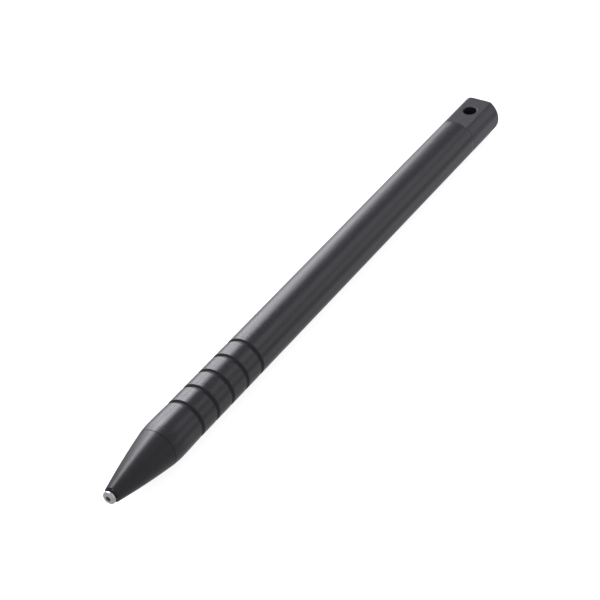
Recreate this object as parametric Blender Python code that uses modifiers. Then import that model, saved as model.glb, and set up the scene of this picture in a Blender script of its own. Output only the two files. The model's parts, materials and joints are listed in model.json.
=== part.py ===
"""Sprung-tip stylus for a handheld computer, modelled as its separate pieces.

The pen lies along X on a level surface: nose towards -X, tail towards +X, and the flat
with the tether hole facing up. The origin is under the middle of the pen, on the surface.
Pieces are drawn along their own Z axis, nose down and tail up, and are then laid on X.
"""
from math import cos, pi, radians, sin

import bmesh
import bpy
from mathutils import Matrix

# Driving dimensions, in metres. Stations run from the nib's point towards the tail.
LENGTH = 0.1187
BARREL_RADIUS = 0.00375
GRIP_RADIUS = 0.00382
BORE_RADIUS = 0.00245
SLIP_GAP = 0.00006
EDGE = 0.0001

NOSE_FRONT = 0.00121
NOSE_REAR = 0.01315
NOSE_FRONT_RADIUS = 0.00140
NOSE_REAR_RADIUS = 0.00364
NOSE_BELLY = 0.00011
SPIGOT_END = 0.0218

GRIP_CREST = 0.01575
GRIP_END = 0.02075
GROOVE_FIRST = 0.02075
GROOVE_PITCH = 0.00431
GROOVE_COUNT = 5
GROOVE_WIDTH = 0.00085
GROOVE_DEPTH = 0.00034

STEM_RADIUS = 0.00075
STEM_BORE = STEM_RADIUS + SLIP_GAP
STEM_END = 0.0083
CUP_STEP = 0.0042
CUP_RADIUS = 0.00123
SLIDE_STEP = 0.0090
SLIDE_RADIUS = 0.00195

TIP_FRONT = 0.00012
TIP_BACK = 0.00064
TIP_RADIUS = 0.00115
TIP_FACE_RADIUS = 0.00075
NIB_RADIUS = 0.00038
NIB_END = 0.0075

COLLAR_START = SLIDE_STEP + SLIP_GAP
COLLAR_END = 0.0104
PLUNGER_FRONT = 0.0046
PIN_RADIUS = 0.0007
PIN_END = 0.0150

SEAT_FACE = 0.0170
SEAT_END = 0.0200
SEAT_BOSS_RADIUS = 0.00105
SEAT_BOSS_START = 0.0162
SEAT_VENT = 0.00045

SPRING_RADIUS = 0.00135
WIRE_RADIUS = 0.00016
SPRING_TURNS = 8
CLOSED_PITCH = 0.00038
POINTS_PER_TURN = 14

SHOULDER = LENGTH - 0.0096
FLAT_HEIGHT = 0.00293
TETHER_STATION = LENGTH - 0.00421
TETHER_RADIUS = 0.00125
PLUG_START = LENGTH - 0.0164
PLUG_CORE_RADIUS = 0.00165
PLUG_CORE_END = LENGTH - 0.0085
TAIL_ROUND = 0.00070

BARREL_SIDES = 48
SMALL_SIDES = 32
TETHER_SIDES = 40
SHARP_ANGLE = radians(32)

# The lowest face of the grip stands on the surface, so the pen's axis is this high.
AXIS_HEIGHT = GRIP_RADIUS * cos(pi / BARREL_SIDES)
NOSE_X = -LENGTH / 2

# Name, colour, roughness and metallic value of each finish.
FINISHES = {
    "black_shell": ((0.030, 0.030, 0.033), 0.45, 0.0),
    "black_nose": ((0.026, 0.026, 0.029), 0.42, 0.0),
    "black_plug": ((0.032, 0.032, 0.035), 0.48, 0.0),
    "bright_nickel": ((0.80, 0.80, 0.81), 0.16, 1.0),
    "dark_acetal": ((0.035, 0.035, 0.038), 0.35, 0.0),
    "natural_acetal": ((0.78, 0.77, 0.73), 0.40, 0.0),
    "spring_steel": ((0.56, 0.57, 0.58), 0.28, 1.0),
    "turned_brass": ((0.72, 0.56, 0.28), 0.32, 1.0),
}


def clear_scene():
    for item in list(bpy.data.objects):
        bpy.data.objects.remove(item, do_unlink=True)


def new_collection(name):
    group = bpy.data.collections.new(name)
    bpy.context.scene.collection.children.link(group)
    return group


def finish(name):
    """Return the Principled material of one finish."""
    colour, roughness, metallic = FINISHES[name]
    material = bpy.data.materials.new(name)
    material.use_nodes = True
    shader = material.node_tree.nodes["Principled BSDF"]
    shader.inputs["Base Color"].default_value = (*colour, 1.0)
    shader.inputs["Roughness"].default_value = roughness
    shader.inputs["Metallic"].default_value = metallic
    return material


def laid_down(sides):
    """Turn a piece drawn up Z onto the pen's axis, with one of its faces straight down."""
    place = Matrix.Translation((NOSE_X, 0, AXIS_HEIGHT))
    return place @ Matrix.Rotation(radians(90), 4, "Y") @ Matrix.Rotation(pi / sides, 4, "Z")


def add_object(name, mesh, group, material_name):
    piece = bpy.data.objects.new(name, mesh)
    group.objects.link(piece)
    piece.data.materials.append(finish(material_name))
    return piece


def turned(name, group, material_name, outer, inner=(), sides=SMALL_SIDES):
    """Turn a profile of (station, radius) points about the pen's axis.

    Both lists run from nose to tail. The profile goes down the outside from the tail and
    back up the bore, or ends on the axis where there is no bore.
    """
    profile = list(reversed(outer)) + list(inner)
    points = [(radius, 0.0, station) for station, radius in profile]
    count = len(points)
    edges = [(index, index + 1) for index in range(count - 1)]
    if inner:
        edges.append((count - 1, 0))
    mesh = bpy.data.meshes.new(name)
    mesh.from_pydata(points, edges, [])
    piece = add_object(name, mesh, group, material_name)
    piece.matrix_world = laid_down(sides)
    screw = piece.modifiers.new("turn", "SCREW")
    screw.axis = "Z"
    screw.steps = sides
    screw.render_steps = sides
    screw.use_merge_vertices = True
    screw.merge_threshold = 0.000001
    return piece


def arc(station, radius, size, start, end, steps):
    """Points on a quarter round or dome, centred on (station, radius), angles in degrees."""
    points = []
    for index in range(steps + 1):
        angle = radians(start + (end - start) * index / steps)
        points.append((station + size * cos(angle), radius + size * sin(angle)))
    return points


def nose_radius(station):
    """Outside radius of the nose: a straight cone with a slight belly."""
    share = (station - NOSE_FRONT) / (NOSE_REAR - NOSE_FRONT)
    cone = NOSE_FRONT_RADIUS + (NOSE_REAR_RADIUS - NOSE_FRONT_RADIUS) * share
    return cone + 4 * NOSE_BELLY * share * (1 - share)


def grip_radius(station):
    """Outside radius of the barrel: it rises from the nose, crests, and eases to parallel."""
    if station < GRIP_CREST:
        share = (station - NOSE_REAR) / (GRIP_CREST - NOSE_REAR)
        return GRIP_RADIUS - (GRIP_RADIUS - NOSE_REAR_RADIUS) * (1 - share) ** 2
    share = min((station - GRIP_CREST) / (GRIP_END - GRIP_CREST), 1.0)
    ease = share * share * (3 - 2 * share)
    return GRIP_RADIUS + (BARREL_RADIUS - GRIP_RADIUS) * ease


def barrel_outline():
    """Outer profile of the barrel, with the turned grip grooves."""
    start = NOSE_REAR + SLIP_GAP
    stations = [start + (GRIP_CREST - start) * index / 5 for index in range(6)]
    stations.append((GRIP_CREST + GROOVE_FIRST) / 2)
    points = [(station, grip_radius(station)) for station in stations]
    half = GROOVE_WIDTH / 2
    for index in range(GROOVE_COUNT):
        middle = GROOVE_FIRST + index * GROOVE_PITCH
        for step in range(5):
            offset = -half + GROOVE_WIDTH * step / 4
            depth = GROOVE_DEPTH * cos(pi / 2 * offset / half)
            station = middle + offset
            points.append((station, grip_radius(station) - depth))
    end = SHOULDER - SLIP_GAP
    points.append((end - EDGE, BARREL_RADIUS))
    points.append((end, BARREL_RADIUS - EDGE))
    return points


def make_barrel(group):
    bore = [(NOSE_REAR + SLIP_GAP, BORE_RADIUS), (SHOULDER - SLIP_GAP, BORE_RADIUS)]
    turned("barrel", group, "black_shell", barrel_outline(), bore, BARREL_SIDES)


def make_nose_cone(group):
    """Tapered front with a spigot that fits the barrel and a stepped bore for the tip."""
    stations = [NOSE_FRONT + (NOSE_REAR - NOSE_FRONT) * index / 7 for index in range(8)]
    outer = [(NOSE_FRONT, NOSE_FRONT_RADIUS - EDGE)]
    outer.append((NOSE_FRONT + EDGE, nose_radius(NOSE_FRONT + EDGE)))
    outer += [(station, nose_radius(station)) for station in stations[1:-1]]
    outer.append((NOSE_REAR - EDGE, nose_radius(NOSE_REAR - EDGE)))
    outer.append((NOSE_REAR, NOSE_REAR_RADIUS - EDGE))
    spigot = BORE_RADIUS - SLIP_GAP
    outer += [(NOSE_REAR, spigot), (SPIGOT_END - EDGE, spigot)]
    outer.append((SPIGOT_END, spigot - EDGE))
    cup_bore = CUP_RADIUS + SLIP_GAP
    inner = [
        (NOSE_FRONT, STEM_BORE), (CUP_STEP, STEM_BORE),
        (CUP_STEP, cup_bore), (SLIDE_STEP, cup_bore),
        (SLIDE_STEP, SLIDE_RADIUS), (SPIGOT_END, SLIDE_RADIUS),
    ]
    turned("nose_cone", group, "black_nose", outer, inner, BARREL_SIDES)


def make_tip_ferrule(group):
    """Bright collar with a flat face and a rounded rim, on a hollow stem."""
    depth = TIP_BACK - TIP_FRONT - 2 * EDGE
    rise = TIP_RADIUS - TIP_FACE_RADIUS
    outer = []
    for index in range(7):
        angle = pi / 2 * index / 6
        outer.append((TIP_FRONT + depth * (1 - cos(angle)), TIP_FACE_RADIUS + rise * sin(angle)))
    outer += [(TIP_BACK, TIP_RADIUS - EDGE), (TIP_BACK, STEM_RADIUS), (STEM_END, STEM_RADIUS)]
    nib_bore = NIB_RADIUS + SLIP_GAP
    inner = [(TIP_FRONT, nib_bore), (STEM_END, nib_bore)]
    turned("tip_ferrule", group, "bright_nickel", outer, inner)


def make_nib(group):
    """Plain pin with a domed point."""
    dome = arc(NIB_RADIUS, 0.0, NIB_RADIUS, 180, 90, 6)
    dome[0] = (0.0, 0.0)
    outer = dome + [(NIB_END, NIB_RADIUS), (NIB_END, 0.0)]
    turned("nib", group, "dark_acetal", outer)


def make_plunger(group):
    """Slider: a cup for the stem, a stop collar, and a pin that guides the spring."""
    outer = [
        (PLUNGER_FRONT, CUP_RADIUS), (COLLAR_START, CUP_RADIUS),
        (COLLAR_START, SLIDE_RADIUS - SLIP_GAP), (COLLAR_END, SLIDE_RADIUS - SLIP_GAP),
        (COLLAR_END, PIN_RADIUS), (PIN_END - 2 * EDGE, PIN_RADIUS),
        (PIN_END, PIN_RADIUS - 2 * EDGE), (PIN_END, 0.0),
    ]
    cup_floor = STEM_END + SLIP_GAP
    cup = [(cup_floor, 0.0), (cup_floor, STEM_BORE), (PLUNGER_FRONT, STEM_BORE)]
    turned("plunger", group, "natural_acetal", cup + outer)


def make_spring_seat(group):
    """Pressed plug behind the spring, with a boss inside its last turn and a vent."""
    radius = SLIDE_RADIUS - SLIP_GAP
    outer = [
        (SEAT_BOSS_START, SEAT_BOSS_RADIUS - EDGE), (SEAT_BOSS_START + EDGE, SEAT_BOSS_RADIUS),
        (SEAT_FACE, SEAT_BOSS_RADIUS), (SEAT_FACE, radius),
        (SEAT_END - EDGE, radius), (SEAT_END, radius - EDGE),
    ]
    inner = [(SEAT_BOSS_START, SEAT_VENT), (SEAT_END, SEAT_VENT)]
    turned("spring_seat", group, "turned_brass", outer, inner)


def spring_points():
    """Centre line of a compression spring with one closed turn at each end."""
    start = COLLAR_END + SLIP_GAP + WIRE_RADIUS
    end = SEAT_FACE - SLIP_GAP - WIRE_RADIUS
    open_pitch = (end - start - 2 * CLOSED_PITCH) / (SPRING_TURNS - 2)
    station = start
    points = []
    for index in range(SPRING_TURNS * POINTS_PER_TURN + 1):
        turn = index / POINTS_PER_TURN
        angle = 2 * pi * turn
        points.append((SPRING_RADIUS * cos(angle), SPRING_RADIUS * sin(angle), station))
        closed = turn < 1 or turn >= SPRING_TURNS - 1
        station += (CLOSED_PITCH if closed else open_pitch) / POINTS_PER_TURN
    return points


def make_return_spring(group):
    curve = bpy.data.curves.new("return_spring", "CURVE")
    curve.dimensions = "3D"
    curve.bevel_depth = WIRE_RADIUS
    curve.bevel_resolution = 2
    curve.use_fill_caps = True
    points = spring_points()
    spline = curve.splines.new("POLY")
    spline.points.add(len(points) - 1)
    for target, point in zip(spline.points, points):
        target.co = (*point, 1.0)
    piece = add_object("return_spring", curve, group, "spring_steel")
    piece.matrix_world = laid_down(SMALL_SIDES)


def make_cutter(name, group, mesh_maker, place):
    mesh = bpy.data.meshes.new(name)
    shape = bmesh.new()
    mesh_maker(shape)
    bmesh.ops.transform(shape, matrix=place, verts=shape.verts)
    shape.to_mesh(mesh)
    shape.free()
    cutter = bpy.data.objects.new(name, mesh)
    group.objects.link(cutter)
    cutter.hide_render = True
    cutter.display_type = "WIRE"
    return cutter


def cut(piece, cutter):
    boolean = piece.modifiers.new(cutter.name, "BOOLEAN")
    boolean.operation = "DIFFERENCE"
    boolean.solver = "EXACT"
    boolean.object = cutter


def make_tail_plug(group, cutters):
    """Plug with a cored spigot; its tail is cut flat on top and drilled for a tether."""
    spigot = BORE_RADIUS - SLIP_GAP
    rounding = arc(LENGTH - TAIL_ROUND, BARREL_RADIUS - TAIL_ROUND, TAIL_ROUND, 90, 0, 4)
    core = [
        (PLUG_CORE_END, 0.0), (PLUG_CORE_END, PLUG_CORE_RADIUS), (PLUG_START, PLUG_CORE_RADIUS),
    ]
    outer = [
        (PLUG_START, spigot - EDGE), (PLUG_START + EDGE, spigot), (SHOULDER, spigot),
        (SHOULDER, BARREL_RADIUS - EDGE), (SHOULDER + EDGE, BARREL_RADIUS),
    ]
    plug = turned(
        "tail_plug", group, "black_plug", core + outer + rounding + [(LENGTH, 0.0)],
        sides=BARREL_SIDES,
    )
    flat_length = LENGTH - SHOULDER
    flat_box = Matrix.Translation((
        NOSE_X + SHOULDER + flat_length / 2,
        0.0,
        AXIS_HEIGHT + FLAT_HEIGHT + BARREL_RADIUS,
    )) @ Matrix.Diagonal((2 * flat_length, 4 * BARREL_RADIUS, 2 * BARREL_RADIUS, 1.0))
    flat = make_cutter(
        "flat_cutter", cutters, lambda shape: bmesh.ops.create_cube(shape, size=1.0), flat_box,
    )
    hole = make_cutter(
        "tether_cutter",
        cutters,
        lambda shape: bmesh.ops.create_cone(
            shape, cap_ends=True, segments=TETHER_SIDES, radius1=TETHER_RADIUS,
            radius2=TETHER_RADIUS, depth=4 * BARREL_RADIUS,
        ),
        Matrix.Translation((NOSE_X + TETHER_STATION, 0.0, AXIS_HEIGHT)),
    )
    cut(plug, flat)
    cut(plug, hole)


def shade(group):
    """Fix each turned piece as a mesh, smooth along its curves and crisp at its edges."""
    bpy.context.view_layer.update()
    graph = bpy.context.evaluated_depsgraph_get()
    for piece in group.objects:
        if piece.type != "MESH":
            continue
        mesh = bpy.data.meshes.new_from_object(piece.evaluated_get(graph))
        mesh.shade_smooth()
        mesh.set_sharp_from_angle(angle=SHARP_ANGLE)
        piece.modifiers.clear()
        piece.data = mesh


def carry_moving_tip(group):
    """Parent the sliding pieces to an empty on the slide's axis."""
    slide = bpy.data.objects.new("tip_slide", None)
    group.objects.link(slide)
    slide.matrix_world = Matrix.Translation((NOSE_X, 0.0, AXIS_HEIGHT))
    bpy.context.view_layer.update()
    for name in ("tip_ferrule", "nib", "plunger"):
        piece = bpy.data.objects[name]
        place = piece.matrix_world.copy()
        piece.parent = slide
        piece.matrix_world = place


def main():
    clear_scene()
    pen = new_collection("stylus")
    cutters = new_collection("stylus_cutters")
    make_barrel(pen)
    make_nose_cone(pen)
    make_tip_ferrule(pen)
    make_nib(pen)
    make_plunger(pen)
    make_return_spring(pen)
    make_spring_seat(pen)
    make_tail_plug(pen, cutters)
    shade(pen)
    carry_moving_tip(pen)


main()
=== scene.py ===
"""Looks of the sprung-tip stylus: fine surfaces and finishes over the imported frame.

Along the pen, a station is the distance from the nib's point towards the tail, and round
it an angle of 0 is straight up, so a point is (station, radius, angle) about the pen's axis.
"""

import json
from math import cos, pi, radians, sin, tan

import bpy
import numpy as np
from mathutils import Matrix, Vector


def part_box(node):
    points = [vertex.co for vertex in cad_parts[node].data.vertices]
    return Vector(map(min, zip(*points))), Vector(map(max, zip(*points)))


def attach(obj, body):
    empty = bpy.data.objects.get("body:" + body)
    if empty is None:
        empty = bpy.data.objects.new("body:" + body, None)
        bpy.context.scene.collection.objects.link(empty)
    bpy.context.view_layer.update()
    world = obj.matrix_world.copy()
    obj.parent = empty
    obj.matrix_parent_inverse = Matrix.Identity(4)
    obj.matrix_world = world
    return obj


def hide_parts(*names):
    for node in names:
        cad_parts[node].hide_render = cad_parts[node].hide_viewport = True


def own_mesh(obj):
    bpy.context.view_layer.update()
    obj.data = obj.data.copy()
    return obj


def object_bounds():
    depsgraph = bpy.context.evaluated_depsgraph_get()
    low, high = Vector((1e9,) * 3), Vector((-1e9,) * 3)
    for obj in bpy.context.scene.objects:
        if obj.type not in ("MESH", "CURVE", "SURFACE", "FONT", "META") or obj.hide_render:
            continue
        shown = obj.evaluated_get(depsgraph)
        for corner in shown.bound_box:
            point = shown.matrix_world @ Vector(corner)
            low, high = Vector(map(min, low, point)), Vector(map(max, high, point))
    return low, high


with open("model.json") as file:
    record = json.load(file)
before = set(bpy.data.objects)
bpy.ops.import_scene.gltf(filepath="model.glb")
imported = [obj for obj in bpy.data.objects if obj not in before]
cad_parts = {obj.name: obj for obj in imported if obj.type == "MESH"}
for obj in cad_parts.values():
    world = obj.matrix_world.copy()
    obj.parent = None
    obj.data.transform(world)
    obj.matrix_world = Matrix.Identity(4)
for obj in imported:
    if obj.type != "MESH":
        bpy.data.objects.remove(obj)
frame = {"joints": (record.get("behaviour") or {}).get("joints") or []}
cad_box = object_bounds()

MM = 0.001
CREASE_ANGLE = radians(38)
# The CAD barrel has 48 flat sides, so the true circle stands just outside its box.
CAD_SIDES = 48
low, high = cad_box
TIP_X = low.x
LENGTH = high.x - low.x
GRIP_RADIUS = (high.y - low.y) / 2 / cos(pi / CAD_SIDES)
AXIS_Z = low.z + (high.y - low.y) / 2
plug_low, plug_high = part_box("tail_plug")
BARREL_RADIUS = (plug_high.y - plug_low.y) / 2 / cos(pi / CAD_SIDES)
FLAT_HEIGHT = plug_high.z - AXIS_Z
PLUG_START = plug_low.x - TIP_X
cone_low, cone_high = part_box("nose_cone")
NOSE_FRONT = cone_low.x - TIP_X
SPIGOT_END = cone_high.x - TIP_X
barrel_low, barrel_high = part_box("barrel")
SLIP_GAP = 0.06 * MM
NOSE_REAR = barrel_low.x - TIP_X - SLIP_GAP
SHOULDER = barrel_high.x - TIP_X + SLIP_GAP

NOSE_FRONT_RADIUS = 1.40 * MM
NOSE_REAR_RADIUS = 3.64 * MM
NOSE_BELLY = 0.11 * MM
BORE_RADIUS = 2.45 * MM
GRIP_CREST = 15.75 * MM
GROOVE_FIRST = 20.75 * MM
GROOVE_PITCH = 4.31 * MM
GROOVE_COUNT = 5
GROOVE_WIDTH = 0.85 * MM
GROOVE_DEPTH = 0.34 * MM
LIP_ROUND = 0.05 * MM
SEAM_ROUND = 0.03 * MM

STEM_RADIUS = 0.75 * MM
STEM_END = 8.3 * MM
CUP_STEP = 4.2 * MM
CUP_RADIUS = 1.23 * MM
SLIDE_STEP = 9.0 * MM
SLIDE_RADIUS = 1.95 * MM
TIP_FRONT = 0.12 * MM
TIP_BACK = 0.64 * MM
TIP_RADIUS = 1.15 * MM
TIP_FACE_RADIUS = 0.72 * MM
NIB_RADIUS = 0.38 * MM
NIB_END = 7.5 * MM
COLLAR_END = 10.4 * MM
PLUNGER_FRONT = 4.6 * MM
PIN_RADIUS = 0.70 * MM
PIN_END = 15.0 * MM
SEAT_FACE = 17.0 * MM
SEAT_END = 20.0 * MM
SEAT_BOSS_RADIUS = 1.05 * MM
SEAT_BOSS_START = 16.2 * MM
SEAT_VENT = 0.45 * MM
SPRING_RADIUS = 1.35 * MM
WIRE_RADIUS = 0.16 * MM
SPRING_TURNS = 8
CLOSED_PITCH = 0.38 * MM
TETHER_STATION = LENGTH - 4.21 * MM
TETHER_RADIUS = 1.25 * MM
RIM_ROUND = 0.16 * MM
PLUG_CORE_RADIUS = 1.65 * MM
PLUG_CORE_END = LENGTH - 8.5 * MM
TAIL_ROUND = 0.50 * MM
# The flat's end edge is rounded less than the round side's.
FLAT_SHARE = 0.16
# The long edges where the flat meets the round side.
FLAT_EDGE_ROUND = 0.16 * MM
# The moulding gate's dimple: its depth, and its reach and slope as shares of the end face.
GATE_DEPTH = 0.07 * MM
GATE_REACH = 0.22
GATE_SLOPE = 0.06
PARTING_HEIGHT = 0.016 * MM
PARTING_WIDTH = 0.05 * MM

# Moulded black: the tints of its body, its paler mottling and its rubbed spots, as multiples
# of its shade, how far wear reaches from a lip, and how far the painted shade in the grooves
# reaches from a groove's middle.
BLACK_TINT = (1.05, 0.97, 1.17)
PALE_TINT = (1.52, 1.41, 1.68)
RUBBED_TINT = (3.3, 3.1, 3.6)
WORN_REACH = 0.10 * MM
GROOVE_SHADE_REACH = 0.62 * GROOVE_WIDTH
GROOVE_SHADE_BLACK = (0.002, 0.002, 0.002)

# The camera: a long lens, its lift above the level, its turn from +X towards +Y and its roll.
LENS = 140.8
CAMERA_LIFT = 37.14
CAMERA_TURN = 36.13
CAMERA_ROLL = -6.38
CAMERA_REACH = 0.39466
CAMERA_TARGET = (-0.00392, 0.00005, 0.00385)

# Lights: soft boxes, each as large for its reach as the others.
LIGHT_TINT = (1.0, 0.985, 1.045)
ROOM_LIGHT = 0.47
# The table's glow: its strength, the height part of its directions with its spread, and how
# far they lean towards +X with the width of its fade.
TABLE_GLOW = 0.70
GLOW_RISE = -0.42
GLOW_SPREAD = 0.30
GLOW_LEAN = 0.50
GLOW_FADE = 0.22
PANEL_SHAPE = (0.46, 0.345)
# Name, heading from +X towards +Y and lift above the level in degrees, reach in metres, the
# place along X that it faces in metres, power in watts.
PANELS = [
    ("back_panel_high", 54, 44, 0.75, 0.0, 1.50),
    ("back_panel_middle", 54, 30, 0.75, 0.0, 0.86),
    ("back_panel_low", 54, 16, 0.75, 0.0, 0.85),
    ("back_panel_level", 54, 4, 0.75, 0.0, 0.30),
    ("tail_panel", 40, 48, 0.30, -0.045, 0.165),
    ("nose_panel", 62, 54, 0.15, -0.062, 0.034),
    ("front_panel_high", -30, 35, 0.30, -0.03, 0.042),
    ("front_panel_low", -30, 10, 0.30, -0.03, 0.036),
    ("front_panel_side", -55, 10, 0.30, -0.03, 0.023),
]

FLOOR_HUB = 0.02
FLOOR_REACH = 1.5
FLOOR_SWEEP = 1.2
FLOOR_GLOW = 0.86


# ---------------------------------------------------------------- surfaces


def soft_min(first, second, blend):
    """The lesser of two values, with the crossing rounded over a width of blend."""
    share = np.clip(0.5 + 0.5 * (second - first) / blend, 0, 1)
    return second * (1 - share) + first * share - blend * share * (1 - share)


def smooth(mesh):
    """Smooth shading, with edges that turn by more than the crease angle kept sharp."""
    mesh.shade_smooth()
    mesh.set_sharp_from_angle(angle=CREASE_ANGLE)


def add_mesh(name, points, faces):
    """Make a closed mesh object, turned face out where its signed volume is negative."""
    mesh = bpy.data.meshes.new(name)
    mesh.from_pydata(points, [], faces)
    mesh.update()
    mesh.calc_loop_triangles()
    corners = np.empty(len(mesh.loop_triangles) * 3, np.int64)
    mesh.loop_triangles.foreach_get("vertices", corners)
    a, b, c = np.asarray(points)[corners].reshape(-1, 3, 3).transpose(1, 0, 2)
    if np.einsum("ij,ij->i", a, np.cross(b, c)).sum() < 0:
        mesh.flip_normals()
    smooth(mesh)
    piece = bpy.data.objects.new(name, mesh)
    bpy.context.scene.collection.objects.link(piece)
    return piece


def skin(name, grid, poles=None):
    """Close a grid of points (row, column, xyz) that runs round in its columns.

    With two poles the first and last rows are fanned to them. Without poles the rows run
    round as well, so the surface closes on itself like a ring.
    """
    rows, columns, _ = grid.shape
    points = grid.reshape(-1, 3)
    row = np.arange(rows if poles is None else rows - 1)
    column = np.arange(columns)
    here, ahead = row[:, None] * columns, (row[:, None] + 1) % rows * columns
    beside = (column[None, :] + 1) % columns
    quads = np.stack([here + column, here + beside, ahead + beside, ahead + column], -1)
    faces = quads.reshape(-1, 4).tolist()
    if poles is not None:
        first, last = rows * columns, rows * columns + 1
        points = np.vstack([points, poles])
        start = np.stack([np.full(columns, first), (column + 1) % columns, column], -1)
        final_row = (rows - 1) * columns
        finish = np.stack([
            np.full(columns, last), final_row + column, final_row + (column + 1) % columns,
        ], -1)
        faces += start.tolist() + finish.tolist()
    return add_mesh(name, points, faces)


def on_axis(station, radius, angle):
    """Place (station, radius, angle) about the pen's axis; angles open towards -Y."""
    station, radius, angle = np.broadcast_arrays(station, radius, angle)
    return np.stack([
        TIP_X + station, -radius * np.sin(angle), AXIS_Z + radius * np.cos(angle),
    ], -1)


def even_angles(count):
    """Angles that split the full turn into count equal steps."""
    return 2 * pi * np.arange(count) / count


def angles_with(count, places, reach, extra):
    """Even angles with extra columns crowded within reach (an angle) of the named places."""
    spread = np.linspace(-reach, reach, extra)
    crowded = [(place + spread) % (2 * pi) for place in places]
    return np.unique(np.round(np.concatenate([even_angles(count), *crowded]), 9))


def filleted(corners, loop, steps=5):
    """Outline through (station, radius, fillet) corners, each fillet an arc tangent to both sides.

    The arc's centre lies on the corner's bisector, at fillet / sin(half the corner's angle).
    """
    outline = []
    count = len(corners)
    for index, (station, radius, fillet) in enumerate(corners):
        corner = np.array([station, radius])
        ends = not loop and index in (0, count - 1)
        if fillet == 0 or ends:
            outline.append(corner)
            continue
        before = np.array(corners[index - 1][:2]) - corner
        after = np.array(corners[(index + 1) % count][:2]) - corner
        before, after = before / np.linalg.norm(before), after / np.linalg.norm(after)
        half = np.arccos(np.clip(before @ after, -1, 1)) / 2
        middle = (before + after) / np.linalg.norm(before + after)
        centre = corner + middle * fillet / sin(half)
        start = corner + before * fillet / tan(half) - centre
        end = corner + after * fillet / tan(half) - centre
        sweep = pi - 2 * half
        for share in np.linspace(0, 1, steps + 1):
            weight = sin((1 - share) * sweep), sin(share * sweep)
            outline.append(centre + (start * weight[0] + end * weight[1]) / sin(sweep))
    return np.array(outline)


def turned(name, corners, loop, sides=96, steps=5):
    """Turn a filleted outline about the pen's axis. An open outline starts and ends on it."""
    outline = filleted(corners, loop, steps)
    rings = outline if loop else outline[1:-1]
    poles = None if loop else on_axis(outline[[0, -1], 0], 0.0, 0.0)
    grid = on_axis(rings[:, 0, None], rings[:, 1, None], even_angles(sides)[None, :])
    return skin(name, grid, poles)


# ---------------------------------------------------------------- shells


def nose_radius(station):
    """Straight cone with a parabolic belly."""
    share = (station - NOSE_FRONT) / (NOSE_REAR - NOSE_FRONT)
    cone = NOSE_FRONT_RADIUS + (NOSE_REAR_RADIUS - NOSE_FRONT_RADIUS) * share
    return cone + 4 * NOSE_BELLY * share * (1 - share)


def grip_radius(station):
    """Parabolic rise to the crest behind the nose, then an eased fall to the parallel barrel."""
    rise = np.clip((station - NOSE_REAR) / (GRIP_CREST - NOSE_REAR), 0, 1)
    fall = np.clip((station - GRIP_CREST) / (GROOVE_FIRST - GRIP_CREST), 0, 1)
    lifted = GRIP_RADIUS - (GRIP_RADIUS - NOSE_REAR_RADIUS) * (1 - rise) ** 2
    return lifted + (BARREL_RADIUS - GRIP_RADIUS) * fall * fall * (3 - 2 * fall)


def groove_centres():
    """Stations of the grip grooves, one pitch apart."""
    return GROOVE_FIRST + GROOVE_PITCH * np.arange(GROOVE_COUNT)


def ringed_radius(station):
    """The grip's radius, less a parabolic trough at each groove, its lips rounded over."""
    radius = grip_radius(station)
    for centre in groove_centres():
        across = (station - centre) / (GROOVE_WIDTH / 2)
        trough = grip_radius(station) - GROOVE_DEPTH * (1 - across ** 2)
        radius = soft_min(radius, trough, LIP_ROUND)
    return radius


def make_barrel():
    """Long shell: ringed outside, plain bore, and a fine parting line along each side."""
    start, end = NOSE_REAR + SLIP_GAP, SHOULDER - SLIP_GAP
    lip = SEAM_ROUND
    # Stations are crowded across each groove and a little past its lips.
    across = GROOVE_WIDTH * np.linspace(-0.72, 0.72, 31)
    grooves = [centre + across for centre in groove_centres()]
    station = np.unique(np.concatenate([
        np.linspace(start + lip, GROOVE_FIRST, 40), *grooves,
        np.linspace(groove_centres()[-1] + GROOVE_WIDTH, end - lip, 90),
    ]))
    outside = np.stack([station, ringed_radius(station)], -1)
    turn = np.linspace(0, pi / 2, 6)[1:]
    rear = np.stack([
        end - lip + lip * np.sin(turn), BARREL_RADIUS - lip + lip * np.cos(turn),
    ], -1)
    front = np.stack([
        start + lip - lip * np.sin(turn), ringed_radius(start + lip) - lip + lip * np.cos(turn),
    ], -1)[::-1]
    inside_station = np.linspace(end, start, 24)
    inside = np.stack([inside_station, np.full_like(inside_station, BORE_RADIUS)], -1)
    outline = np.vstack([front, outside, rear, inside])
    sides = [pi / 2, 3 * pi / 2]
    angle = angles_with(176, sides, 2.4 * PARTING_WIDTH / BARREL_RADIUS, 9)
    off_line = np.abs((angle[:, None] - sides + pi) % (2 * pi) - pi).min(1)
    ridge = np.exp(-(off_line * BARREL_RADIUS / PARTING_WIDTH) ** 2)
    on_outside = (outline[:, 1] > BORE_RADIUS + lip).astype(float)
    radius = outline[:, 1, None] + PARTING_HEIGHT * ridge[None, :] * on_outside[:, None]
    return skin("barrel_shell", on_axis(outline[:, 0, None], radius, angle[None, :]))


def make_nose():
    """Nose shell: bellied cone outside, spigot behind, stepped bore inside."""
    edge = 0.10 * MM
    station = np.linspace(NOSE_FRONT + edge, NOSE_REAR - edge, 40)
    spigot = BORE_RADIUS - SLIP_GAP
    stem_bore, cup_bore = STEM_RADIUS + SLIP_GAP, CUP_RADIUS + SLIP_GAP
    outer = [(NOSE_FRONT, nose_radius(NOSE_FRONT), 0.04 * MM)]
    outer += [(place, nose_radius(place), 0) for place in station]
    outer += [
        (NOSE_REAR, nose_radius(NOSE_REAR), SEAM_ROUND),
        (NOSE_REAR, spigot, 0), (SPIGOT_END, spigot, edge),
    ]
    bore = [
        (SPIGOT_END, SLIDE_RADIUS, 0), (SLIDE_STEP, SLIDE_RADIUS, 0), (SLIDE_STEP, cup_bore, 0),
        (CUP_STEP, cup_bore, 0), (CUP_STEP, stem_bore, 0), (NOSE_FRONT, stem_bore, 0.05 * MM),
    ]
    return turned("nose_shell", outer + bore, loop=True, sides=160)


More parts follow.
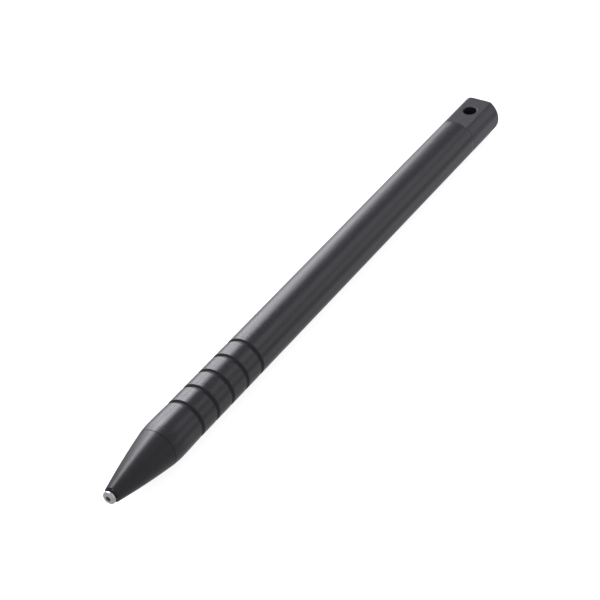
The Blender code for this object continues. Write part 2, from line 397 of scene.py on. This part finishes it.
def tail_section(angle, inset):
    """Radius of the tail at an angle: a circle with its top cut flat, both drawn in by inset."""
    upward = np.maximum(np.cos(angle), 0.2)
    flat = (FLAT_HEIGHT - inset * FLAT_SHARE) / upward
    return soft_min(np.broadcast_to(BARREL_RADIUS - inset, flat.shape), flat, FLAT_EDGE_ROUND)


def tether_cutter():
    """Tool for the tether hole: a straight wall that flares at each mouth.

    Each mouth's flare is a quarter arc that follows the face it opens in: the flat above,
    and below the round underside, whose height is -sqrt(radius^2 - across^2).
    """
    # The arc starts a little up its curve, so that it leaves the face at a clear angle.
    turn = np.radians(np.linspace(14, 90, 9))
    reach = RIM_ROUND * (1 - np.sin(turn))
    depth = RIM_ROUND * (1 - np.cos(turn)) - RIM_ROUND * (1 - cos(turn[0]))
    overshoot, clear_above = 0.05 * MM, 1.2 * MM
    far_out = reach[0] + overshoot / tan(turn[0])
    swell = np.concatenate([[far_out, far_out], reach])
    sink = np.concatenate([[-clear_above, -overshoot], depth])
    angle = even_angles(128)
    radius = TETHER_RADIUS + swell[:, None] + 0 * angle
    across = radius * np.sin(angle)
    along = radius * np.cos(angle)
    top = FLAT_HEIGHT - sink[:, None] + 0 * angle
    under = -np.sqrt(BARREL_RADIUS ** 2 - across ** 2) + sink[:, None]
    centre = TIP_X + TETHER_STATION
    x = centre + np.concatenate([along, along[::-1]])
    y = np.concatenate([across, across[::-1]])
    z = AXIS_Z + np.concatenate([top, under[::-1]])
    ends = ((centre, 0, z[0].mean()), (centre, 0, z[-1].mean()))
    return skin("tether_cutter", np.stack([x, y, z], -1), ends)


def cut_away(piece, tool):
    """Take the tool's shape out of the piece, keep the result as its mesh and drop the tool."""
    cut = piece.modifiers.new("cut", "BOOLEAN")
    cut.operation = "DIFFERENCE"
    cut.solver = "EXACT"
    cut.object = tool
    bpy.context.view_layer.update()
    graph = bpy.context.evaluated_depsgraph_get()
    piece_left = bpy.data.meshes.new_from_object(piece.evaluated_get(graph))
    piece.modifiers.clear()
    piece.data = piece_left
    smooth(piece_left)
    bpy.data.objects.remove(tool, do_unlink=True)


def make_tail():
    """Tail cap: flat-topped round body with a rounded end, a cored spigot and a tether hole.

    Its rings run from the bottom of the core, out over the spigot, along the outside and in
    over the end face to the gate's dimple. The tether hole is then cut through.
    """
    lip = SEAM_ROUND
    corner = float(np.arccos(FLAT_HEIGHT / BARREL_RADIUS))
    places = [corner, -corner]
    angle = angles_with(160, places, 0.4 * MM / BARREL_RADIUS, 13)
    turn = np.linspace(0, pi / 2, 9)
    body = np.linspace(SHOULDER + lip, LENGTH - TAIL_ROUND, 62)[1:-1]
    station = np.concatenate([
        SHOULDER + lip - lip * np.sin(turn[::-2]), body,
        LENGTH - TAIL_ROUND + TAIL_ROUND * np.sin(turn),
    ])
    inset = np.concatenate([
        lip - lip * np.cos(turn[::-2]), 0 * body, TAIL_ROUND - TAIL_ROUND * np.cos(turn),
    ])
    outside = tail_section(angle[None, :], inset[:, None])
    rim = outside[-1]
    # The end face's rings, as shares of its rim, crowded at the gate's slope.
    shrink = np.array([0.8, 0.6, 0.42, 0.26, 0.2, 0.17, 0.15, 0.12, 0.06])
    gate = np.clip((GATE_REACH - shrink) / GATE_SLOPE, 0, 1) * GATE_DEPTH
    end_rings = rim[None, :] * shrink[:, None]
    end_station = LENGTH - gate
    spigot = BORE_RADIUS - SLIP_GAP
    inner = filleted([
        (PLUG_CORE_END, 0.0, 0), (PLUG_CORE_END, PLUG_CORE_RADIUS, 0.2 * MM),
        (PLUG_START, PLUG_CORE_RADIUS, 0), (PLUG_START, spigot, 0.1 * MM),
        (SHOULDER, spigot, 0),
    ], loop=False)[1:]
    stations = np.concatenate([inner[:, 0], station, end_station])
    radii = np.vstack([np.repeat(inner[:, 1, None], len(angle), 1), outside, end_rings])
    grid = on_axis(stations[:, None], radii, angle[None, :])
    ends = on_axis(np.array([PLUG_CORE_END, LENGTH - gate[-1]]), 0.0, 0.0)
    cap = skin("tail_cap", grid, ends)
    cut_away(cap, tether_cutter())
    return cap


# ---------------------------------------------------------------- the sprung tip


def make_collar():
    """Bright tip: a collar with a rounded rim, quarter-ellipse in section, on a hollow stem."""
    turn = np.linspace(0, pi / 2, 20)
    edge = 0.09 * MM
    depth = TIP_BACK - TIP_FRONT - 2 * edge
    rise = TIP_RADIUS - TIP_FACE_RADIUS
    dome = [
        (TIP_FRONT + depth * (1 - cos(t)), TIP_FACE_RADIUS + rise * sin(t), 0) for t in turn
    ]
    nib_bore = NIB_RADIUS + SLIP_GAP
    corners = [(TIP_FRONT, nib_bore, 0.03 * MM)] + dome + [
        (TIP_BACK, TIP_RADIUS, edge * 0.8), (TIP_BACK, STEM_RADIUS, 0.05 * MM),
        (STEM_END, STEM_RADIUS, 0.1 * MM), (STEM_END, nib_bore, 0),
    ]
    return turned("tip_collar", corners, loop=True, sides=128)


def make_nib_pin():
    """Nib: a straight pin with a hemispherical point."""
    turn = np.linspace(0, pi / 2, 12)
    dome = [(NIB_RADIUS * (1 - cos(t)), NIB_RADIUS * sin(t), 0) for t in turn]
    return turned("nib_pin", dome + [(NIB_END, NIB_RADIUS, 0.05 * MM), (NIB_END, 0, 0)], False)


def make_slider():
    """Plunger: cup for the stem, stop collar, and the pin that guides the spring."""
    collar_radius = SLIDE_RADIUS - SLIP_GAP
    cup_floor, cup_wall = STEM_END + SLIP_GAP, STEM_RADIUS + SLIP_GAP
    collar_start = SLIDE_STEP + SLIP_GAP
    corners = [
        (cup_floor, 0, 0), (cup_floor, cup_wall, 0.05 * MM), (PLUNGER_FRONT, cup_wall, 0.08 * MM),
        (PLUNGER_FRONT, CUP_RADIUS, 0.12 * MM), (collar_start, CUP_RADIUS, 0),
        (collar_start, collar_radius, 0.08 * MM), (COLLAR_END, collar_radius, 0.12 * MM),
        (COLLAR_END, PIN_RADIUS, 0.1 * MM), (PIN_END, PIN_RADIUS, 0.25 * MM), (PIN_END, 0, 0),
    ]
    return turned("slider", corners, False)


def make_seat():
    """Spring seat: a pressed disc with a boss for the spring and a vent through it."""
    radius = SLIDE_RADIUS - SLIP_GAP
    corners = [
        (SEAT_BOSS_START, SEAT_VENT, 0.04 * MM), (SEAT_BOSS_START, SEAT_BOSS_RADIUS, 0.12 * MM),
        (SEAT_FACE, SEAT_BOSS_RADIUS, 0), (SEAT_FACE, radius, 0.06 * MM),
        (SEAT_END, radius, 0.1 * MM), (SEAT_END, SEAT_VENT, 0.04 * MM),
    ]
    return turned("seat_disc", corners, True)


def make_spring():
    """Coil spring: a round wire carried along a helix that closes up at each end.

    The centre line's station is the running sum of the pitch, which is tight on the first
    and last turns. The wire's section is set square to the helix at each point.
    """
    per_turn = 40
    turn = np.arange(SPRING_TURNS * per_turn + 1) / per_turn
    start = COLLAR_END + SLIP_GAP + WIRE_RADIUS
    end = SEAT_FACE - SLIP_GAP - WIRE_RADIUS
    open_pitch = (end - start - 2 * CLOSED_PITCH) / (SPRING_TURNS - 2)
    closed = (turn[:-1] < 1) | (turn[:-1] >= SPRING_TURNS - 1)
    steps = np.where(closed, CLOSED_PITCH, open_pitch) / per_turn
    station = start + np.concatenate([[0], np.cumsum(steps)])
    line = on_axis(station, SPRING_RADIUS, 2 * pi * turn)
    along = np.gradient(line, axis=0)
    along /= np.linalg.norm(along, axis=1, keepdims=True)
    outward = on_axis(station, 1.0, 2 * pi * turn) - on_axis(station, 0.0, 0.0)
    beside = np.cross(along, outward)
    beside /= np.linalg.norm(beside, axis=1, keepdims=True)
    around = even_angles(14)[None, :, None]
    section = outward[:, None] * np.cos(around) + beside[:, None] * np.sin(around)
    grid = line[:, None] + WIRE_RADIUS * section
    return skin("coil_spring", grid, (tuple(line[0]), tuple(line[-1])))


# ---------------------------------------------------------------- finishes


class Number:
    """A shader socket that carries a number. Arithmetic on it adds Math nodes."""

    def __init__(self, maker, socket):
        self.maker = maker
        self.socket = socket

    def math(self, operation, *others):
        node = self.maker.tree.nodes.new("ShaderNodeMath")
        node.operation = operation
        for place, value in zip(node.inputs, (self, *others)):
            self.maker.feed(place, value)
        return Number(self.maker, node.outputs[0])

    def __add__(self, other):
        return self.math("ADD", other)

    def __sub__(self, other):
        return self.math("SUBTRACT", other)

    def __mul__(self, other):
        return self.math("MULTIPLY", other)

    def __truediv__(self, other):
        return self.math("DIVIDE", other)

    def __rsub__(self, other):
        return (self * -1) + other

    __radd__ = __add__
    __rmul__ = __mul__

    def above(self, edge, width):
        """0 below edge, 1 above edge + width, and smooth between."""
        node = self.maker.make(
            "ShaderNodeMapRange", {"interpolation_type": "SMOOTHSTEP"},
            {"Value": self, "From Min": edge, "From Max": edge + width},
        )
        return Number(self.maker, node.outputs["Result"])

    def hump(self, centre, reach):
        """1 at centre, easing to 0 at reach on either side."""
        return 1 - ((self - centre).math("ABSOLUTE") / reach).above(0.0, 1.0)


class Nodes:
    """Adds nodes to one tree."""

    def __init__(self, tree):
        self.tree = tree

    def feed(self, socket, value):
        if isinstance(value, Number):
            value = value.socket
        if isinstance(value, bpy.types.NodeSocket):
            self.tree.links.new(value, socket)
        else:
            socket.default_value = value

    def make(self, kind, settings=None, inputs=None):
        """Add a node: its settings first, then the values or links of its sockets."""
        node = self.tree.nodes.new(kind)
        for key, value in (settings or {}).items():
            setattr(node, key, value)
        for key, value in (inputs or {}).items():
            self.feed(node.inputs[key], value)
        return node


class Finish(Nodes):
    """Builds one material's nodes."""

    def __init__(self, name, **constants):
        self.material = bpy.data.materials.new(name)
        self.material.use_nodes = True
        super().__init__(self.material.node_tree)
        self.shader = self.tree.nodes["Principled BSDF"]
        for socket, value in constants.items():
            self.shader.inputs[socket.replace("_", " ")].default_value = value
        self.place = self.make("ShaderNodeTexCoord").outputs["Object"]

    def stretched(self, along, across):
        """Object coordinates centred on the pen's axis, scaled along and across it."""
        node = self.make("ShaderNodeMapping", None, {
            "Vector": self.place,
            "Location": (-TIP_X * along, 0.0, -AXIS_Z * across),
            "Scale": (along, across, across),
        })
        return node.outputs["Vector"]

    def noise(self, scale, detail=2.0, vector=None, roughness=0.5):
        """Soft cloudy pattern about 0.5, with scale the cells in each metre."""
        node = self.make("ShaderNodeTexNoise", None, {
            "Vector": vector or self.place, "Scale": scale, "Detail": detail,
            "Roughness": roughness,
        })
        return Number(self, node.outputs["Fac"])

    def parts_of_place(self):
        """Station along the pen, and distance from its axis."""
        node = self.make("ShaderNodeSeparateXYZ", None, {"Vector": self.place})
        x, y, z = (Number(self, node.outputs[axis]) for axis in "XYZ")
        height = z - AXIS_Z
        return x - TIP_X, (y * y + height * height).math("SQRT")

    def mix(self, share, first, second):
        """Blend two colours: all first at a share of 0, all second at 1."""
        node = self.make("ShaderNodeMix", {"data_type": "RGBA"}, {
            0: share, 6: (*first, 1.0) if isinstance(first, tuple) else first,
            7: (*second, 1.0) if isinstance(second, tuple) else second,
        })
        return node.outputs[2]

    def relief(self, height, distance):
        """Bump of the given depth, for the shader's Normal."""
        node = self.make("ShaderNodeBump", None, {"Height": height, "Distance": distance})
        return node.outputs["Normal"]

    def finish(self, **surface):
        """Feed the shader's sockets and hand back the material."""
        for socket, value in surface.items():
            self.feed(self.shader.inputs[socket.replace("_", " ")], value)
        return self.material


def moulded_black(name, shade, roughness, lips, handled=None, grooves=()):
    """Black moulded plastic with a fine spark-eroded grain.

    lips are stations of edges that wear pale, handled is the stretch that fingers polish and
    grooves are stations of troughs whose colour is darkened with painted shade.
    """
    skin_finish = Finish(name, IOR=1.49)
    station, _ = skin_finish.parts_of_place()
    grain = skin_finish.noise(7000.0, detail=3.0)
    mottle = skin_finish.noise(1500.0, detail=4.0, roughness=0.6)
    drift = skin_finish.noise(90.0, detail=2.0)
    hairs = skin_finish.noise(1.0, detail=3.0, vector=skin_finish.stretched(260.0, 5200.0))
    scuff = hairs.above(0.66, 0.08) * drift.above(0.42, 0.16)
    edges = sum(station.hump(lip, WORN_REACH) for lip in lips)
    wear = edges * mottle.above(0.40, 0.25)
    body = tuple(shade * tint for tint in BLACK_TINT)
    pale = tuple(shade * tint for tint in PALE_TINT)
    rubbed = tuple(shade * tint for tint in RUBBED_TINT)
    colour = skin_finish.mix(mottle.above(0.35, 0.35) * 0.55, body, pale)
    colour = skin_finish.mix(wear * 0.45 + scuff * 0.18, colour, rubbed)
    rough = roughness + (drift - 0.5) * 0.10 + (mottle - 0.5) * 0.12
    rough = rough + scuff * 0.06 - wear * 0.05
    if handled:
        start, end = handled
        polish = station.above(start, 3 * MM) * (1 - station.above(end, 6 * MM))
        grain = grain * (1 - polish * 0.35)
        rough = rough - polish * 0.05
    # Painted shade: each groove's trough is darkened towards black, and made rougher, for the
    # shade that falls in it.
    if len(grooves):
        groove_shade = sum(station.hump(groove, GROOVE_SHADE_REACH) for groove in grooves)
        groove_shade = groove_shade.above(0.15, 0.5) * (0.75 + mottle * 0.25)
        colour = skin_finish.mix(groove_shade * 0.9, colour, GROOVE_SHADE_BLACK)
        rough = rough + groove_shade * 0.22
    height = grain + mottle * 0.8 - scuff * 0.5
    return skin_finish.finish(
        Base_Color=colour, Roughness=rough, Normal=skin_finish.relief(height, 0.004 * MM),
    )


def tool_rings(distance, pitch):
    """Turning marks: a sine wave that repeats once in each pitch of the distance."""
    return (distance * (2 * pi / pitch)).math("SINE")


def bright_plate():
    """Nickel plate over turned metal: fine tool rings, faint haze and rubbed spots."""
    plate = Finish("nickel_plate", Metallic=1.0)
    station, reach = plate.parts_of_place()
    rings = tool_rings(station + reach, 0.045 * MM)
    wander = plate.noise(2600.0, detail=2.0)
    haze = plate.noise(900.0, detail=3.0)
    colour = plate.mix(haze.above(0.35, 0.4), (0.72, 0.72, 0.73), (0.60, 0.60, 0.61))
    rough = 0.25 + haze * 0.12 + (wander - 0.5) * 0.05
    height = rings * 0.5 + wander * 0.7
    return plate.finish(
        Base_Color=colour, Roughness=rough, Normal=plate.relief(height, 0.0012 * MM),
    )


def acetal(name, base, rubbed, roughness):
    """Machined acetal: faint tool rings, a waxy surface and a point rubbed by glass."""
    resin = Finish(name, IOR=1.48)
    station, reach = resin.parts_of_place()
    rings = tool_rings(station + reach, 0.06 * MM)
    cloud = resin.noise(1400.0, detail=3.0)
    point = 1 - station.above(0.05 * MM, 0.25 * MM)
    colour = resin.mix(cloud.above(0.4, 0.3) * 0.5 + point * 0.4, base, rubbed)
    rough = roughness + (cloud - 0.5) * 0.14 - point * 0.08
    height = rings * 0.4 + cloud
    return resin.finish(
        Base_Color=colour, Roughness=rough, Normal=resin.relief(height, 0.0015 * MM),
    )


def drawn_wire():
    """Spring steel: lengthwise die lines and straw-coloured heat tint in patches."""
    wire = Finish("spring_wire", Metallic=1.0)
    lines = wire.noise(1.0, detail=3.0, vector=wire.stretched(9000.0, 1500.0))
    tint = wire.noise(700.0, detail=2.0)
    colour = wire.mix(tint.above(0.42, 0.25), (0.55, 0.56, 0.57), (0.60, 0.54, 0.44))
    rough = 0.24 + lines * 0.14
    return wire.finish(
        Base_Color=colour, Roughness=rough, Normal=wire.relief(lines, 0.002 * MM),
    )


def turned_brass():
    """Brass as it leaves the lathe: feed rings, and dull brown where it has been handled."""
    brass = Finish("lathe_brass", Metallic=1.0)
    station, reach = brass.parts_of_place()
    feed = tool_rings(station + reach, 0.08 * MM)
    tarnish = brass.noise(800.0, detail=4.0)
    colour = brass.mix(tarnish.above(0.42, 0.25), (0.76, 0.60, 0.30), (0.46, 0.34, 0.17))
    rough = 0.24 + tarnish * 0.20
    height = feed * 0.6 + tarnish * 0.4
    return brass.finish(
        Base_Color=colour, Roughness=rough, Normal=brass.relief(height, 0.002 * MM),
    )


# ---------------------------------------------------------------- assembly


def groove_lips():
    """Stations of both lips of each grip groove."""
    half = GROOVE_WIDTH / 2
    return [centre + side * half for centre in groove_centres() for side in (-1, 1)]


def dress(piece, node, body, material):
    """Stand a finished piece in for its CAD node."""
    piece.data.materials.clear()
    piece.data.materials.append(material)
    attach(piece, body)
    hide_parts(node)
    return piece


def make_pen():
    """Every piece with its finish, in the place of its CAD node."""
    held = (NOSE_REAR, GROOVE_FIRST + GROOVE_COUNT * GROOVE_PITCH)
    barrel_black = moulded_black(
        "barrel_black", 0.016, 0.31, groove_lips(), held, groove_centres(),
    )
    # Painted light and shade: the nose and tail are the barrel's plastic, but the tail's black is
    # painted lighter and the nose's darker to stand for how the light falls on them.
    nose_black_painted_darker = moulded_black("nose_black_painted_darker", 0.014, 0.33, (NOSE_FRONT, NOSE_REAR))
    tail_black_painted_lighter = moulded_black("tail_black_painted_lighter", 0.023, 0.34, (SHOULDER,))
    dress(make_barrel(), "barrel", "pen", barrel_black)
    dress(make_nose(), "nose_cone", "pen", nose_black_painted_darker)
    dress(make_tail(), "tail_plug", "pen", tail_black_painted_lighter)
    dress(make_seat(), "spring_seat", "pen", turned_brass())
    dress(make_collar(), "tip_ferrule", "tip", bright_plate())
    nib_black = acetal("nib_black", (0.030, 0.030, 0.033), (0.060, 0.060, 0.064), 0.34)
    dress(make_nib_pin(), "nib", "tip", nib_black)
    slider_white = acetal("slider_white", (0.78, 0.77, 0.73), (0.70, 0.69, 0.66), 0.40)
    dress(make_slider(), "plunger", "tip", slider_white)
    spring = dress(make_spring(), "return_spring", "pen", drawn_wire())
    travel = next(j for j in frame["joints"] if j["name"] == "nib_press")["range_m"][1]
    # The share of its length that the spring would keep at full travel; it is worked out but not
    # used.
    1 - travel / (SEAT_FACE - COLLAR_END)
    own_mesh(spring)


# ---------------------------------------------------------------- studio


def make_floor():
    """Lit white table: a flat disc that sweeps up into a round wall.

    Its profile is level to FLOOR_REACH, then a quarter circle of radius FLOOR_SWEEP. The
    pen doesn't mirror it, as if black cards stood round the pen below the camera's view.
    """
    turn = np.linspace(0, pi / 2, 24)
    level = np.linspace(FLOOR_HUB, FLOOR_REACH, 8)
    reach = np.concatenate([level, FLOOR_REACH + FLOOR_SWEEP * np.sin(turn[1:])])
    height = np.concatenate([0 * level, FLOOR_SWEEP * (1 - np.cos(turn[1:]))])
    angle = even_angles(96)
    points = np.stack([
        reach[:, None] * np.cos(angle), reach[:, None] * np.sin(angle),
        low.z + height[:, None] + 0 * angle,
    ], -1)
    rows, columns = points.shape[:2]
    row, column = np.arange(rows - 1)[:, None] * columns, np.arange(columns)
    beside = (column + 1) % columns
    quads = np.stack([
        row + column, row + columns + column, row + columns + beside, row + beside,
    ], -1)
    faces = quads.reshape(-1, 4).tolist() + [list(range(columns))]
    mesh = bpy.data.meshes.new("lit_table")
    mesh.from_pydata(points.reshape(-1, 3), [], faces)
    mesh.shade_smooth()
    floor = bpy.data.objects.new("lit_table", mesh)
    bpy.context.scene.collection.objects.link(floor)
    floor.visible_glossy = False
    floor.visible_diffuse = False
    paper = Finish("pale_acrylic", Emission_Strength=FLOOR_GLOW)
    cloud = paper.noise(30.0, detail=2.0)
    colour = paper.mix(cloud, (0.50, 0.50, 0.50), (0.54, 0.54, 0.54))
    mesh.materials.append(paper.finish(
        Base_Color=colour, Roughness=0.7 + cloud * 0.1, Emission_Color=(1.0, 1.0, 1.0, 1.0),
    ))


def aim(thing, target):
    """Turn a lamp or a camera so that it looks at target."""
    direction = Vector(target) - thing.location
    thing.rotation_euler = direction.to_track_quat("-Z", "Y").to_euler()


def make_panel(name, heading, lift, reach, place, power):
    """Soft rectangular light facing the pen, unseen by the camera itself."""
    lamp = bpy.data.lights.new(name, "AREA")
    lamp.shape = "RECTANGLE"
    lamp.size, lamp.size_y = (reach * share for share in PANEL_SHAPE)
    lamp.energy = power
    lamp.color = LIGHT_TINT
    holder = bpy.data.objects.new(name, lamp)
    bpy.context.scene.collection.objects.link(holder)
    turn, rise = radians(heading), radians(lift)
    target = Vector((place, 0, AXIS_Z))
    holder.location = target + reach * Vector((
        cos(rise) * cos(turn), cos(rise) * sin(turn), sin(rise),
    ))
    holder.visible_camera = False
    aim(holder, target)


def make_camera():
    """Long lens looking down on the pen from beyond its nose, turned a little on its own axis."""
    lens = bpy.data.cameras.new("camera")
    lens.sensor_width = 36.0
    lens.lens = LENS
    lens.clip_start = 0.02
    camera = bpy.data.objects.new("camera", lens)
    bpy.context.scene.collection.objects.link(camera)
    lift, turn = radians(CAMERA_LIFT), radians(CAMERA_TURN)
    target = Vector(CAMERA_TARGET)
    camera.location = target - CAMERA_REACH * Vector((
        cos(lift) * cos(turn), cos(lift) * sin(turn), -sin(lift),
    ))
    aim(camera, target)
    camera.rotation_euler.rotate_axis("Z", radians(CAMERA_ROLL))
    bpy.context.scene.camera = camera


def make_room():
    """Even light from all round, and a glow from the lit table beyond the pen's tail.

    The glow comes from below the level, over directions that lean far enough towards +X.
    """
    world = bpy.data.worlds.new("soft_room")
    bpy.context.scene.world = world
    world.use_nodes = True
    room = Nodes(world.node_tree)
    background = world.node_tree.nodes["Background"]
    direction = room.make("ShaderNodeTexCoord").outputs["Generated"]
    parts = room.make("ShaderNodeSeparateXYZ", None, {"Vector": direction})
    ahead, rise = (Number(room, parts.outputs[axis]) for axis in "XZ")
    glow = rise.hump(GLOW_RISE, GLOW_SPREAD) * ahead.above(GLOW_LEAN, GLOW_FADE)
    room.feed(background.inputs["Strength"], ROOM_LIGHT + glow * TABLE_GLOW)
    background.inputs["Color"].default_value = (*LIGHT_TINT, 1.0)


def make_studio():
    """Room light, panels, table and camera."""
    make_room()
    for panel in PANELS:
        make_panel(*panel)
    bpy.context.scene.view_settings.view_transform = "Standard"
    make_floor()
    make_camera()


make_pen()
make_studio()
